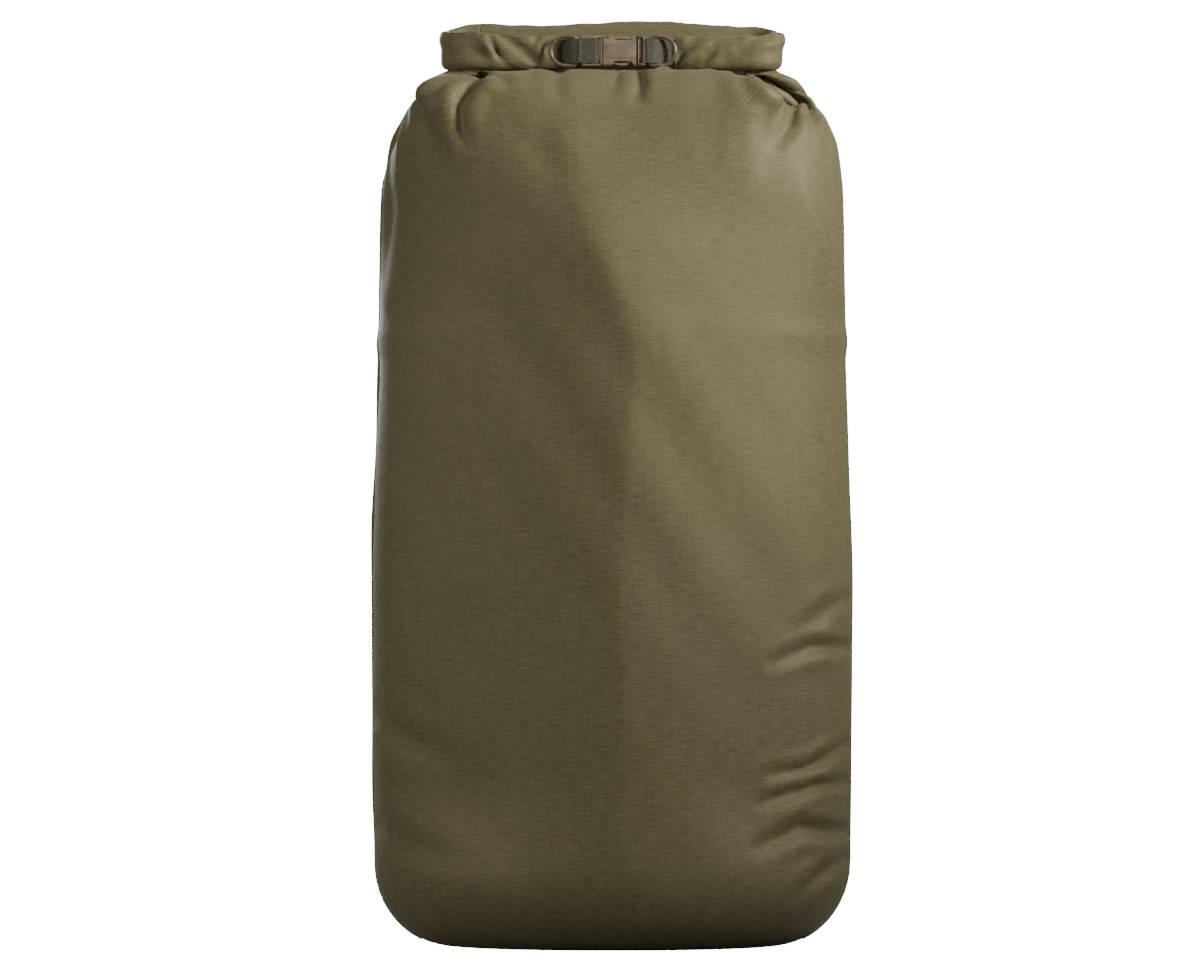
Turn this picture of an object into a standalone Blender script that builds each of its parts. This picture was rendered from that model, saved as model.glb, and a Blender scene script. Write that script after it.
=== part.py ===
"""A large roll-top stuff sack, filled and closed: two body panels and an oval base, a mouth rolled down and bent
round in a U, and a side-release buckle with two D-rings that joins the ends of the roll in front.

Frame: metres, +Z up, origin on the ground in the middle of the base, front of the sack towards -Y.
"""

import math

import bmesh
import bpy
from mathutils import Matrix, Vector

MM = 0.001

# ---- driving dimensions, in metres ----
BODY_HALF_WIDTH = 238 * MM
BODY_HALF_DEPTH = 150 * MM
BASE_HALF_WIDTH = 195 * MM  # the part of the base that lies on the ground
BASE_HALF_DEPTH = 128 * MM
BASE_BULGE_HEIGHT = 100 * MM  # the wall reaches its full width this far up
SHOULDER_START = 700 * MM  # the sides begin to draw in here
DOME_START = 690 * MM  # the front and the back begin to draw in here
NECK_Z = 874.2 * MM  # top edge of the body panels, under the roll
NECK_HALF_WIDTH = 172 * MM
NECK_HALF_DEPTH = 4 * MM
NECK_SHIFT_Y = 4 * MM  # the neck stands a little behind the middle of the base
SECTION_POWER = 2.2  # 2 is an ellipse, more is squarer
SECTION_STEPS = 26  # flat strips in half of a section

CLOTH = 1.2 * MM
GAP = 0.3 * MM
TAPE_WIDTH = 20 * MM
TAPE_THICKNESS = 0.6 * MM

ROLL_LAYER = 1.3 * MM
ROLL_PITCH = 2.0 * MM
ROLL_TURNS = 2
ROLL_CORE = 2.6 * MM  # half thickness of the hollow in the middle of the roll
ROLL_RADIUS = ROLL_CORE + ROLL_LAYER + ROLL_PITCH * ROLL_TURNS  # half thickness of the whole roll
BACK_RUN_Y = 6 * MM
BACK_RUN_Z = 901 * MM
BACK_RUN_HALF_HEIGHT = 25 * MM
WING_Y = -45 * MM
WING_Z = 887 * MM  # also the height of the buckle and the D-rings
WING_HALF_HEIGHT = 18.9 * MM
BEND_X = 138.5 * MM  # centre of each half-round bend
BEND_RADIUS = (BACK_RUN_Y - WING_Y) / 2
LEFT_WING_END = -52 * MM
RIGHT_WING_END = 62 * MM

WEBBING_WIDTH = 25 * MM
WEBBING = 1.5 * MM
RING_WIRE = 1.8 * MM  # radius
RING_HALF_HEIGHT = WEBBING_WIDTH / 2 + GAP + RING_WIRE
RING_ARM = 9.9 * MM  # straight part of a D-ring's side, between its bar and its arc
BUCKLE_Y = WING_Y - ROLL_RADIUS - 0.5 * MM - RING_WIRE
LOOP_HALF = 2.9 * MM  # from the middle of a webbing loop to the middle of each of its layers
LEFT_RING_BAR = -36.5 * MM
RIGHT_RING_BAR = 38.5 * MM
LEFT_FOLD = -17 * MM  # where the left tab turns back round the strap frame's second bar
RIGHT_FOLD = 31.9 * MM  # where the right tab turns back round the housing's bar
LEFT_TACK = LEFT_RING_BAR + 4.5 * MM
RIGHT_TACK = RIGHT_RING_BAR - 3.0 * MM
TAB_ROOT = 14 * MM  # length of a tab that is held inside the roll
TAB_CLEAR = 1 * MM  # between the end of a wing and the first bend of its tab
TAB_BEHIND_RING = 9.5 * MM  # from a ring's bar to where the tab passes behind the arc
TAB_OVER_BAR = 3.0 * MM  # from a ring's bar to where the tab has risen in front of it
TAB_PARTING = 7.5 * MM  # from a ring's bar to where the back layer leaves the loop

BUCKLE_HALF_HEIGHT = 14.9 * MM
HOUSING_LEFT = -8.7 * MM
HOUSING_RIGHT = 26.3 * MM
HOUSING_HALF_DEPTH = 4.3 * MM
CAVITY_HALF_DEPTH = 2.8 * MM
CAVITY_HALF_HEIGHT = 11.9 * MM
CAVITY_END = 22.5 * MM
HOUSING_BAR = (31.1 * MM, 34.1 * MM)
HOUSING_LEG_HALF_DEPTH = 2.3 * MM
NOTCH_OUTLINE = ((-0.8, 16.0), (1.2, 12.5), (1.2, 10.7), (19.6, 10.7), (19.6, 12.3), (23.0, 16.0))  # in mm
HOUSING_EDGE = 0.5 * MM  # width of the bevel along its edges
FRAME_LEFT = -29.5 * MM
FRAME_RIGHT = -9.0 * MM
FRAME_HALF_DEPTH = 2.6 * MM
BAR_HALF_DEPTH = 1.5 * MM
FRAME_SLOTS = ((-26.5 * MM, -19.5 * MM), (-16.5 * MM, -11.7 * MM))
SLOT_HALF_HEIGHT = 12.8 * MM
GUIDE_END = 15 * MM
GUIDE_HALF_HEIGHT = 2.5 * MM
GUIDE_HALF_DEPTH = 1.8 * MM
FRAME_EDGE = 0.4 * MM
ARM_HALF_DEPTH = 2.3 * MM
ARM_ROOT = (-8.7 * MM, 10.2 * MM)  # where the arm bends, in the buckle's own frame
ARM_OUTER = ((-8.7, 11.4), (1.2, 11.4), (1.7, 13.3), (5.5, 14.2), (10.0, 14.5), (14.5, 14.0), (18.5, 12.4), (20.8, 10.3))
ARM_INNER = ((20.3, 8.6), (17.0, 10.4), (13.0, 11.7), (9.0, 12.1), (5.0, 11.6), (0.5, 9.3), (-8.7, 9.0))
ARM_EDGE = 0.35 * MM
CUT = 20 * MM  # how far a cutter stands out past what it cuts


def clear_scene():
    for obj in list(bpy.data.objects):
        bpy.data.objects.remove(obj, do_unlink=True)


def new_collection(name, hidden=False):
    made = bpy.data.collections.new(name)
    bpy.context.scene.collection.children.link(made)
    made.hide_render = hidden
    return made


def new_material(name, colour, roughness, metallic=0.0):
    made = bpy.data.materials.new(name)
    made.use_nodes = True
    shader = made.node_tree.nodes["Principled BSDF"]
    shader.inputs["Base Color"].default_value = (*colour, 1.0)
    shader.inputs["Roughness"].default_value = roughness
    shader.inputs["Metallic"].default_value = metallic
    return made


def place(obj, collection, material):
    for old in list(obj.users_collection):
        old.objects.unlink(obj)
    collection.objects.link(obj)
    if material:
        obj.data.materials.append(material)
    return obj


def smooth(obj, degrees=40):
    obj.data.shade_smooth()
    obj.data.set_sharp_from_angle(angle=math.radians(degrees))


# ---- sheets: every cloth and webbing piece is a flat grid, bent by a function and given its thickness ----


def sheet(name, across, along, shape, thickness, collection, material, offset=0.0):
    """A grid whose point at (s, t), each 0 to 1, stands at shape(s, t). Offset -1 puts the thickness behind it."""
    mesh = bpy.data.meshes.new(name)
    grid = bmesh.new()
    bmesh.ops.create_grid(grid, x_segments=across, y_segments=along, size=0.5)
    for vertex in grid.verts:
        vertex.co = shape(vertex.co.x + 0.5, vertex.co.y + 0.5)
    grid.to_mesh(mesh)
    grid.free()
    obj = place(bpy.data.objects.new(name, mesh), collection, material)
    solid = obj.modifiers.new("thickness", "SOLIDIFY")
    solid.thickness = thickness
    solid.offset = offset
    solid.use_even_offset = True
    smooth(obj)
    return obj


# ---- the body ----


def quarter(share):
    """1 at share 0, falling to 0 at share 1 as a quarter of a circle does."""
    share = min(max(share, 0.0), 1.0)
    return math.sqrt(1 - share * share)


def body_section(z):
    """Half width, half depth and middle of the filled sack at height z."""
    bulge = quarter(1 - z / BASE_BULGE_HEIGHT)
    width = BASE_HALF_WIDTH + (BODY_HALF_WIDTH - BASE_HALF_WIDTH) * bulge
    depth = BASE_HALF_DEPTH + (BODY_HALF_DEPTH - BASE_HALF_DEPTH) * bulge
    shoulder = (z - SHOULDER_START) / (NECK_Z - SHOULDER_START)
    if shoulder > 0:
        width = NECK_HALF_WIDTH + (BODY_HALF_WIDTH - NECK_HALF_WIDTH) * quarter(shoulder)
    dome = (z - DOME_START) / (NECK_Z - DOME_START)
    if dome > 0:
        depth = NECK_HALF_DEPTH + (BODY_HALF_DEPTH - NECK_HALF_DEPTH) * max(math.cos(dome * math.pi / 2), 0) ** 1.1
    return width, depth, NECK_SHIFT_Y * max(dome, 0.0)


def wall_height(t):
    """Heights bunched towards the base and the neck, where the wall curves most."""
    return NECK_Z * (0.5 - 0.5 * math.cos(math.pi * t))


def on_section(angle, width, depth):
    """A point of a section's outline, at this angle from +X."""
    across, forward = math.cos(angle), math.sin(angle)
    power = 2 / SECTION_POWER
    return math.copysign(abs(across) ** power, across) * width, math.copysign(abs(forward) ** power, forward) * depth


def make_panel(name, side, collection, material):
    """Half of the body wall: side is -1 for the front and +1 for the back. The panels meet at the sides of the sack."""

    def shape(s, t):
        z = wall_height(t)
        width, depth, middle = body_section(z)
        # the flatter the section, the more the cloth's own thickness reaches towards the other panel
        seam_gap = GAP + CLOTH * (1 - depth / BODY_HALF_DEPTH)
        x, y = on_section(math.pi * (1 - s if side < 0 else s), width, depth)
        return Vector((x, middle + side * (abs(y) + seam_gap), z))

    return sheet(name, SECTION_STEPS, 26, shape, CLOTH, collection, material, offset=-1.0)


def base_plate(name, inset, bottom, thickness, collection, material, rim=0.0):
    """A flat plate the shape of the base, this far inside its edge. With a rim, only a band of that width is left."""
    curve = bpy.data.curves.new(name, "CURVE")
    curve.dimensions = "2D"
    curve.fill_mode = "BOTH"
    curve.extrude = thickness / 2
    for reach in (inset, inset + rim) if rim else (inset,):
        spline = curve.splines.new("POLY")
        spline.points.add(2 * SECTION_STEPS - 1)
        spline.use_cyclic_u = True
        for step, point in enumerate(spline.points):
            angle = math.pi * step / SECTION_STEPS
            point.co = (*on_section(angle, BASE_HALF_WIDTH - reach, BASE_HALF_DEPTH - reach), 0, 1)
    obj = place(bpy.data.objects.new(name, curve), collection, material)
    obj.location.z = bottom + thickness / 2
    return obj


def make_side_tape(name, side, collection, material):
    """Sealing tape inside a side seam: side is -1 for the left and +1 for the right."""
    low, high = 30 * MM, 835 * MM
    inset = CLOTH + 2 * GAP + TAPE_THICKNESS

    def shape(s, t):
        z = low + (high - low) * t
        width, depth, middle = body_section(z)
        along = TAPE_WIDTH * (s - 0.5) * -side
        share = abs(along) / (depth - inset)
        return Vector((side * (width - inset) * (1 - share**SECTION_POWER) ** (1 / SECTION_POWER), middle + along, z))

    return sheet(name, 2, 20, shape, TAPE_THICKNESS, collection, material, offset=1.0)


# ---- the rolled mouth ----


def roll_stations(side, start_x, end_x):
    """Points of the roll's middle line, along the back, round the bend at this side and along the wing to end_x.

    Each is x, y, the direction out of the U and how far round the bend it is, from 0 to 1."""
    bend_steps = 6
    centre = Vector((side * BEND_X, (BACK_RUN_Y + WING_Y) / 2, 0))
    stations = []
    if abs(side * BEND_X - start_x) > 1 * MM:
        stations.append((start_x, BACK_RUN_Y, Vector((0, 1, 0)), 0.0))
    for step in range(bend_steps + 1):
        angle = math.pi / 2 - math.pi * step / bend_steps
        out = Vector((side * math.cos(angle), math.sin(angle), 0))
        point = centre + out * BEND_RADIUS
        stations.append((point.x, point.y, out, step / bend_steps))
    stations.append((end_x, WING_Y, Vector((0, -1, 0)), 1.0))
    return stations


def spiral(t, half_height):
    """A flattened spiral: how far out of the roll's middle plane, and how far above its middle line."""
    angle = t * ROLL_TURNS * 2 * math.pi
    radius = ROLL_CORE + ROLL_LAYER / 2 + ROLL_PITCH * angle / (2 * math.pi)
    flat = half_height - ROLL_RADIUS
    rise = math.sin(angle)
    lift = flat if math.sin(angle - 1e-9) > 0 else -flat
    return radius * math.cos(angle), radius * rise + lift


def blend(low, high, share):
    """From low to high, with a smooth start and end."""
    return low + (high - low) * share * share * (3 - 2 * share)


def make_roll(name, side, start_x, end_x, collection, material):
    """The rolled cloth itself, from start_x on the back run, round one bend, to the end of one wing."""
    stations = roll_stations(side, start_x, end_x)
    arc_points = 5
    across = ROLL_TURNS * 2 * (arc_points + 1)

    def shape(s, t):
        x, y, out, bent = stations[round(t * (len(stations) - 1))]
        middle = blend(BACK_RUN_Z, WING_Z, bent)
        half_height = blend(BACK_RUN_HALF_HEIGHT, WING_HALF_HEIGHT, bent)
        turn, step = divmod(round(s * across), arc_points + 1)
        away, up = spiral((turn + min(step / arc_points, 1.0)) / (ROLL_TURNS * 2), half_height)
        if step == 0:
            # the first point of a half turn ends the straight run from the one before
            up = (ROLL_RADIUS - half_height) * (1 if turn % 2 else -1)
        return Vector((x, y, middle + up)) + out * away

    return sheet(name, across, len(stations) - 1, shape, ROLL_LAYER, collection, material)


def make_rim_webbing(name, side, start_x, end_x, collection, material):
    """The strap sewn along the rim of the mouth, lying in the middle of the roll."""
    stations = roll_stations(side, start_x, end_x)

    def shape(s, t):
        x, y, _, bent = stations[round(t * (len(stations) - 1))]
        return Vector((x, y, blend(BACK_RUN_Z, WING_Z, bent) + WEBBING_WIDTH * (s - 0.5)))

    return sheet(name, 1, len(stations) - 1, shape, WEBBING, collection, material)


# ---- webbing tabs and D-rings ----


def make_tab(name, side, wing_end, bar_x, fold_x, collection, material):
    """A double strap from inside the roll, past a D-ring's bar at bar_x and round a buckle bar at fold_x."""
    root_half = WEBBING / 2 + GAP / 2
    behind_ring = BUCKLE_Y + RING_WIRE + 2 * GAP + WEBBING / 2
    fold_steps = 6
    root = wing_end + side * TAB_ROOT
    leave = wing_end - side * TAB_CLEAR
    fold = [
        (fold_x - side * LOOP_HALF * math.sin(turn), BUCKLE_Y - LOOP_HALF * math.cos(turn))
        for turn in (math.pi * step / fold_steps for step in range(fold_steps + 1))
    ]
    path = [
        (root, WING_Y - root_half),
        (leave, WING_Y - root_half),
        (bar_x + side * TAB_BEHIND_RING, behind_ring),
        (bar_x + side * TAB_OVER_BAR, BUCKLE_Y - LOOP_HALF),
        *fold,
        (bar_x + side * TAB_PARTING, BUCKLE_Y + LOOP_HALF),
        (leave, WING_Y + root_half),
        (root, WING_Y + root_half),
    ]

    def shape(s, t):
        x, y = path[round(t * (len(path) - 1))]
        return Vector((x, y, WING_Z + WEBBING_WIDTH * (s - 0.5)))

    return sheet(name, 1, len(path) - 1, shape, WEBBING, collection, material)


def make_ring(name, side, bar_x, collection, material):
    """A D-ring lying against the roll: a straight bar inside the webbing loop, two short arms and a half round."""
    arc_steps = 10
    arc_x = RING_ARM
    points = [(0.0, -RING_HALF_HEIGHT), (0.0, RING_HALF_HEIGHT), (arc_x * 0.5, RING_HALF_HEIGHT)]
    for step in range(arc_steps + 1):
        turn = math.pi / 2 - math.pi * step / arc_steps
        points.append((arc_x + RING_HALF_HEIGHT * math.cos(turn), RING_HALF_HEIGHT * math.sin(turn)))
    points.append((arc_x * 0.5, -RING_HALF_HEIGHT))
    curve = bpy.data.curves.new(name, "CURVE")
    curve.dimensions = "3D"
    curve.bevel_depth = RING_WIRE
    curve.bevel_resolution = 2
    spline = curve.splines.new("POLY")
    spline.points.add(len(points) - 1)
    spline.use_cyclic_u = True
    for point, (x, z) in zip(spline.points, points):
        point.co = (side * x, 0, z, 1)
    obj = place(bpy.data.objects.new(name, curve), collection, material)
    obj.location = (bar_x, BUCKLE_Y, WING_Z)
    return obj


def make_bar_tack(name, x, collection, material):
    """The block of dense stitches that closes a webbing loop beside the D-ring's bar."""
    length, half_depth, half_height = 3 * MM, 0.3 * MM, 10.5 * MM
    tack = block(name, (x - length / 2, x + length / 2), half_depth, (-half_height, half_height), collection, material)
    tack.location.y -= LOOP_HALF + WEBBING / 2 + GAP + half_depth
    return tack


# ---- the buckle ----


def block(name, x_range, half_depth, z_range, collection, material=None):
    """A box given by its ends along X, its half depth and its ends along Z, all in the buckle's own frame."""
    bpy.ops.mesh.primitive_cube_add(size=1)
    obj = place(bpy.context.active_object, collection, material)
    obj.name = name
    size = (x_range[1] - x_range[0], 2 * half_depth, z_range[1] - z_range[0])
    for vertex in obj.data.vertices:
        vertex.co = [c * extent for c, extent in zip(vertex.co, size)]
    obj.location = (sum(x_range) / 2, BUCKLE_Y, WING_Z + sum(z_range) / 2)
    return obj


def outline_plate(name, outline, half_depth, collection, material=None):
    """A flat plate in the XZ plane, cut to an outline given in the buckle's own frame."""
    mesh = bpy.data.meshes.new(name)
    shape = bmesh.new()
    face = shape.faces.new([shape.verts.new((x, -half_depth, z)) for x, z in outline])
    made = bmesh.ops.extrude_face_region(shape, geom=[face])
    moved = [item for item in made["geom"] if isinstance(item, bmesh.types.BMVert)]
    bmesh.ops.translate(shape, verts=moved, vec=(0, 2 * half_depth, 0))
    bmesh.ops.recalc_face_normals(shape, faces=shape.faces)
    shape.to_mesh(mesh)
    shape.free()
    obj = place(bpy.data.objects.new(name, mesh), collection, material)
    obj.location = (0, BUCKLE_Y, WING_Z)
    return obj


def combine(obj, other, operation):
    other.hide_render = True
    other.display_type = "WIRE"
    step = obj.modifiers.new(operation.lower(), "BOOLEAN")
    step.operation = operation
    step.object = other


def round_edges(obj, width):
    edge = obj.modifiers.new("edges", "BEVEL")
    edge.width = width
    edge.segments = 1
    edge.limit_method = "ANGLE"
    edge.angle_limit = math.radians(50)
    edge.use_clamp_overlap = True


def thin_plate(obj, x_range, half_depth, half_height, cutters):
    """Cut both faces of a plate down to this half depth, over a stretch of its length."""
    for sign in (-1, 1):
        shave = block("shave", x_range, CUT / 2, (-half_height, half_height), cutters)
        shave.location.y += sign * (half_depth + CUT / 2)
        combine(obj, shave, "DIFFERENCE")


def make_housing(collection, cutters, material):
    """The socket half: a flat shell, open at the left, with a notch in each edge for the latch arms, and a bar."""
    top, right = BUCKLE_HALF_HEIGHT, HOUSING_BAR[1]
    housing = block("buckle_housing", (HOUSING_LEFT, right), HOUSING_HALF_DEPTH, (-top, top), collection, material)
    cavity_range = (HOUSING_LEFT - CUT, CAVITY_END)
    cavity_height = (-CAVITY_HALF_HEIGHT, CAVITY_HALF_HEIGHT)
    combine(housing, block("cavity", cavity_range, CAVITY_HALF_DEPTH, cavity_height, cutters), "DIFFERENCE")
    for side in (-1, 1):
        outline = [(x * MM, side * z * MM) for x, z in NOTCH_OUTLINE]
        combine(housing, outline_plate("notch", outline, CUT, cutters), "DIFFERENCE")
    thin_plate(housing, (HOUSING_RIGHT + 1 * MM, right + CUT), HOUSING_LEG_HALF_DEPTH, CUT, cutters)
    slot_height = (-SLOT_HALF_HEIGHT, SLOT_HALF_HEIGHT)
    slot = block("slot", (HOUSING_RIGHT, HOUSING_BAR[0]), CUT, slot_height, cutters)
    combine(housing, slot, "DIFFERENCE")
    thin_plate(housing, (HOUSING_RIGHT + HOUSING_EDGE, right + CUT), BAR_HALF_DEPTH, SLOT_HALF_HEIGHT, cutters)
    round_edges(housing, HOUSING_EDGE)
    return housing


def make_frame(collection, cutters, material):
    """The strap frame of the plug half: two bars between two legs, and the tongue that guides it into the socket."""
    top = BUCKLE_HALF_HEIGHT
    frame = block("buckle_frame", (FRAME_LEFT, FRAME_RIGHT), FRAME_HALF_DEPTH, (-top, top), collection, material)
    for slot_range in FRAME_SLOTS:
        slot = block("slot", slot_range, CUT, (-SLOT_HALF_HEIGHT, SLOT_HALF_HEIGHT), cutters)
        combine(frame, slot, "DIFFERENCE")
    bars = (FRAME_LEFT - CUT, FRAME_SLOTS[1][0] + 1 * MM)
    thin_plate(frame, bars, BAR_HALF_DEPTH, SLOT_HALF_HEIGHT, cutters)
    guide_range = (FRAME_RIGHT - 1 * MM, GUIDE_END)
    guide = block("guide", guide_range, GUIDE_HALF_DEPTH, (-GUIDE_HALF_HEIGHT, GUIDE_HALF_HEIGHT), cutters)
    combine(frame, guide, "UNION")
    round_edges(frame, FRAME_EDGE)
    return frame


def make_arm(name, side, collection, material):
    """A springy latch arm: straight through the socket's mouth, then a shoulder and a bowed pad in the notch."""
    outline = [(x * MM, side * z * MM) for x, z in ARM_OUTER + ARM_INNER]
    arm = outline_plate(name, outline, ARM_HALF_DEPTH, collection, material)
    root = Vector((ARM_ROOT[0], 0, side * ARM_ROOT[1]))
    arm.data.transform(Matrix.Translation(-root))
    arm.location += root
    round_edges(arm, ARM_EDGE)
    return arm


def main():
    clear_scene()
    parts = new_collection("stuff_sack")
    cutters = new_collection("cutters", hidden=True)
    cloth = new_material("olive_cloth", (0.112, 0.100, 0.048), 0.55)
    tape = new_material("seam_tape", (0.060, 0.056, 0.035), 0.35)
    webbing = new_material("webbing", (0.105, 0.108, 0.072), 0.80)
    plastic = new_material("brown_plastic", (0.150, 0.105, 0.068), 0.45)
    thread = new_material("thread", (0.080, 0.080, 0.050), 0.70)

    make_panel("front_panel", -1, parts, cloth)
    make_panel("back_panel", 1, parts, cloth)
    base_plate("bottom_panel", 0.8 * MM, 0.0, CLOTH, parts, cloth)
    base_plate("bottom_seam_tape", 4 * MM, CLOTH + GAP, TAPE_THICKNESS, parts, tape, rim=TAPE_WIDTH / 2)
    make_side_tape("left_seam_tape", -1, parts, tape)
    make_side_tape("right_seam_tape", 1, parts, tape)

    joint_x = -BEND_X
    make_roll("rolled_mouth", 1, joint_x + GAP, RIGHT_WING_END, parts, cloth)
    make_roll("rolled_mouth_left", -1, joint_x, LEFT_WING_END, parts, cloth)
    short_of_end = TAB_ROOT + TAB_CLEAR
    make_rim_webbing("rim_webbing", 1, joint_x + GAP, RIGHT_WING_END + short_of_end, parts, webbing)
    make_rim_webbing("rim_webbing_left", -1, joint_x, LEFT_WING_END - short_of_end, parts, webbing)

    make_tab("left_tab", -1, LEFT_WING_END, LEFT_RING_BAR, LEFT_FOLD, parts, webbing)
    make_tab("right_tab", 1, RIGHT_WING_END, RIGHT_RING_BAR, RIGHT_FOLD, parts, webbing)
    make_bar_tack("left_bar_tack", LEFT_TACK, parts, thread)
    make_bar_tack("right_bar_tack", RIGHT_TACK, parts, thread)
    make_ring("left_d_ring", -1, LEFT_RING_BAR, parts, plastic)
    make_ring("right_d_ring", 1, RIGHT_RING_BAR, parts, plastic)

    make_housing(parts, cutters, plastic)
    make_frame(parts, cutters, plastic)
    make_arm("latch_arm_upper", 1, parts, plastic)
    make_arm("latch_arm_lower", -1, parts, plastic)


main()
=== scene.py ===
import math

import bmesh
import bpy
import numpy as np
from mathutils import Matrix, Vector


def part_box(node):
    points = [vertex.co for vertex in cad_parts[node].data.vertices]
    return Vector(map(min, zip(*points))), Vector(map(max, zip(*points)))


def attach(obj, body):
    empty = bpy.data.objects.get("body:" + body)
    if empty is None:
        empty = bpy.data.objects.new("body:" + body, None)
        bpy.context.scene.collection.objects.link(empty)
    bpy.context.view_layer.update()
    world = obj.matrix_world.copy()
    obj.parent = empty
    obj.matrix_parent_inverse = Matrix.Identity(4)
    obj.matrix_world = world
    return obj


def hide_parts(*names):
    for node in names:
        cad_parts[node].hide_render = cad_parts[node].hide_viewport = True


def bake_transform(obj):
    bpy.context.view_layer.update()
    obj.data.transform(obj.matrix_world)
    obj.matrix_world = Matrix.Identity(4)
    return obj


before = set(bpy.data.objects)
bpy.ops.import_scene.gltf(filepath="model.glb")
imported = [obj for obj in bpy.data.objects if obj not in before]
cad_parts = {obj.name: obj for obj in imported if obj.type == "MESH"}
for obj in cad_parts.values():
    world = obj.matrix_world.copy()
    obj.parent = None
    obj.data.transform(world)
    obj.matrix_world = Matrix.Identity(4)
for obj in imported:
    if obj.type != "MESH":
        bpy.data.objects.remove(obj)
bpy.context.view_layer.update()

MM = 0.001

# ---- places taken from the frame ----
ROLL_LOW, ROLL_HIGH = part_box("rolled_mouth")
ROLL_HALF_THICKNESS = 7.9 * MM
BACK_Y = ROLL_HIGH.y - ROLL_HALF_THICKNESS
WING_Y = ROLL_LOW.y + ROLL_HALF_THICKNESS
BEND_RADIUS = (BACK_Y - WING_Y) / 2
BEND_LENGTH = math.pi * BEND_RADIUS
BEND_X = ROLL_HIGH.x - ROLL_HALF_THICKNESS - BEND_RADIUS
LEFT_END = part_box("rolled_mouth_left")[1].x
RIGHT_END = 62 * MM
LEFT_LENGTH = BEND_X + BEND_LENGTH + BEND_X + LEFT_END  # from the middle of the back to the wing's end
RIGHT_LENGTH = BEND_X + BEND_LENGTH + BEND_X - RIGHT_END
LATCH = sum(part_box("buckle_housing"), Vector()) / 2
NECK_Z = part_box("front_panel")[1].z
WALL_HALF_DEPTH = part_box("back_panel")[1].y
TAB_HALF_WIDTH = (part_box("left_tab")[1].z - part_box("left_tab")[0].z) / 2
BACK_MIDDLE_Z = 901 * MM
BACK_HALF_HEIGHT = 25 * MM
WING_MIDDLE_Z = LATCH.z
WING_HALF_HEIGHT = 18.9 * MM

# ---- the filled cloth body ----
COLUMNS = 152
GIRTH = 1.225
STEP = GIRTH / COLUMNS
PINNED_Z = 0.600  # the simulated cloth starts here
LOOSE_LENGTH = 0.385
ROWS = round(LOOSE_LENGTH / STEP)
FRONT_ARC = 0.362  # length of the front from PINNED_Z over the bulge to the roll
SECTION_POWER = 2.15
MOUTH_GAP = 3 * MM
MOUTH_BACK_Z = 878 * MM
MOUTH_WING_Z = 869 * MM
MOUTH_LIFT = 0.050
BASE_HALF_WIDTH = 160 * MM
BASE_HALF_DEPTH = 95 * MM
BASE_ROUNDING = 85 * MM
SIDE_BULGE = 3.5 * MM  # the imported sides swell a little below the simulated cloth
ROW_SHARE = np.arange(ROWS + 1) / ROWS
COLUMN_SHARE = np.arange(COLUMNS) / COLUMNS


def ease(share):
    share = np.clip(share, 0, 1)
    return share * share * (3 - 2 * share)


def between(first, second, share):
    return first + (second - first) * share


def run_length(x, y):
    """How far along a line each of its points is."""
    return np.concatenate([[0], np.cumsum(np.hypot(np.diff(x), np.diff(y)))])


def unit(vectors):
    return vectors / np.linalg.norm(vectors, axis=1)[:, None]


def even_out(values, times):
    """Evens out a row of values in place, except for its two ends."""
    for _ in range(times):
        values[1:-1] = (values[:-2] + 2 * values[1:-1] + values[2:]) / 4


def on_section(angle, width, depth):
    """Points of a rounded oval, as two arrays."""
    power = 2 / SECTION_POWER
    across, forward = (np.sign(part) * np.abs(part) ** power for part in (np.cos(angle), np.sin(angle)))
    return across * width, forward * depth


def wall_half_width(z):
    return 236 * MM - 4 * MM * np.abs(z - 0.35) / 0.35


def even_angles():
    """The angle of each column, evenly spaced along the wall. Column 0 is the left seam, then come the back,
    the right seam and the front."""
    fine = np.linspace(0, 2 * math.pi, 4001)
    x, y = on_section(fine, wall_half_width(PINNED_Z), WALL_HALF_DEPTH)
    length = run_length(x, y)
    share = (0.5 - COLUMN_SHARE) % 1.0
    return np.interp(share * length[-1], length, fine)


COLUMN_ANGLE = even_angles()
MOUTH_SHARE = np.where(COLUMN_SHARE <= 0.5, 2 * COLUMN_SHARE, 2 * (1 - COLUMN_SHARE))


def along_mouth(distance, fold=1.0):
    """The mouth's middle line at a distance from the middle of the back (left is negative), while it is being
    folded forward: x, y, the direction out of the U and how far round the bend."""
    out = np.abs(distance)
    side = np.where(distance < 0, -1.0, 1.0)
    curl = max(fold, 0.001) * math.pi / BEND_LENGTH
    angle = curl * np.clip(out - BEND_X, 0, BEND_LENGTH)
    wing = np.clip(out - BEND_X - BEND_LENGTH, 0, None)
    x = np.minimum(out, BEND_X) + np.sin(angle) / curl + wing * np.cos(angle)
    y = BACK_Y - (1 - np.cos(angle)) / curl - wing * np.sin(angle)
    bent = np.clip((out - BEND_X) / BEND_LENGTH, 0, 1)
    return side * x, y, side * np.sin(angle), np.cos(angle), bent


def held_height(fold, bent):
    return MOUTH_LIFT * (1 - fold) + between(MOUTH_BACK_Z, MOUTH_WING_Z, ease(bent))


def mouth_row(fold):
    """Where the top row of the cloth is held under the roll."""
    distance = MOUTH_SHARE * (LEFT_LENGTH + RIGHT_LENGTH) - LEFT_LENGTH
    x, y, out_x, out_y, bent = along_mouth(distance, fold)
    closing = np.minimum(1, np.minimum(MOUTH_SHARE, 1 - MOUTH_SHARE) * 60)
    gap = np.where(COLUMN_SHARE <= 0.5, MOUTH_GAP, -MOUTH_GAP) * closing
    return np.stack([x + gap * out_x, y + gap * out_y, held_height(fold, bent)], 1)


def wall_ring(width, depth, z):
    x, y = on_section(COLUMN_ANGLE, width, depth)
    return np.stack([x, y, np.full(COLUMNS, z)], 1)


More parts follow.
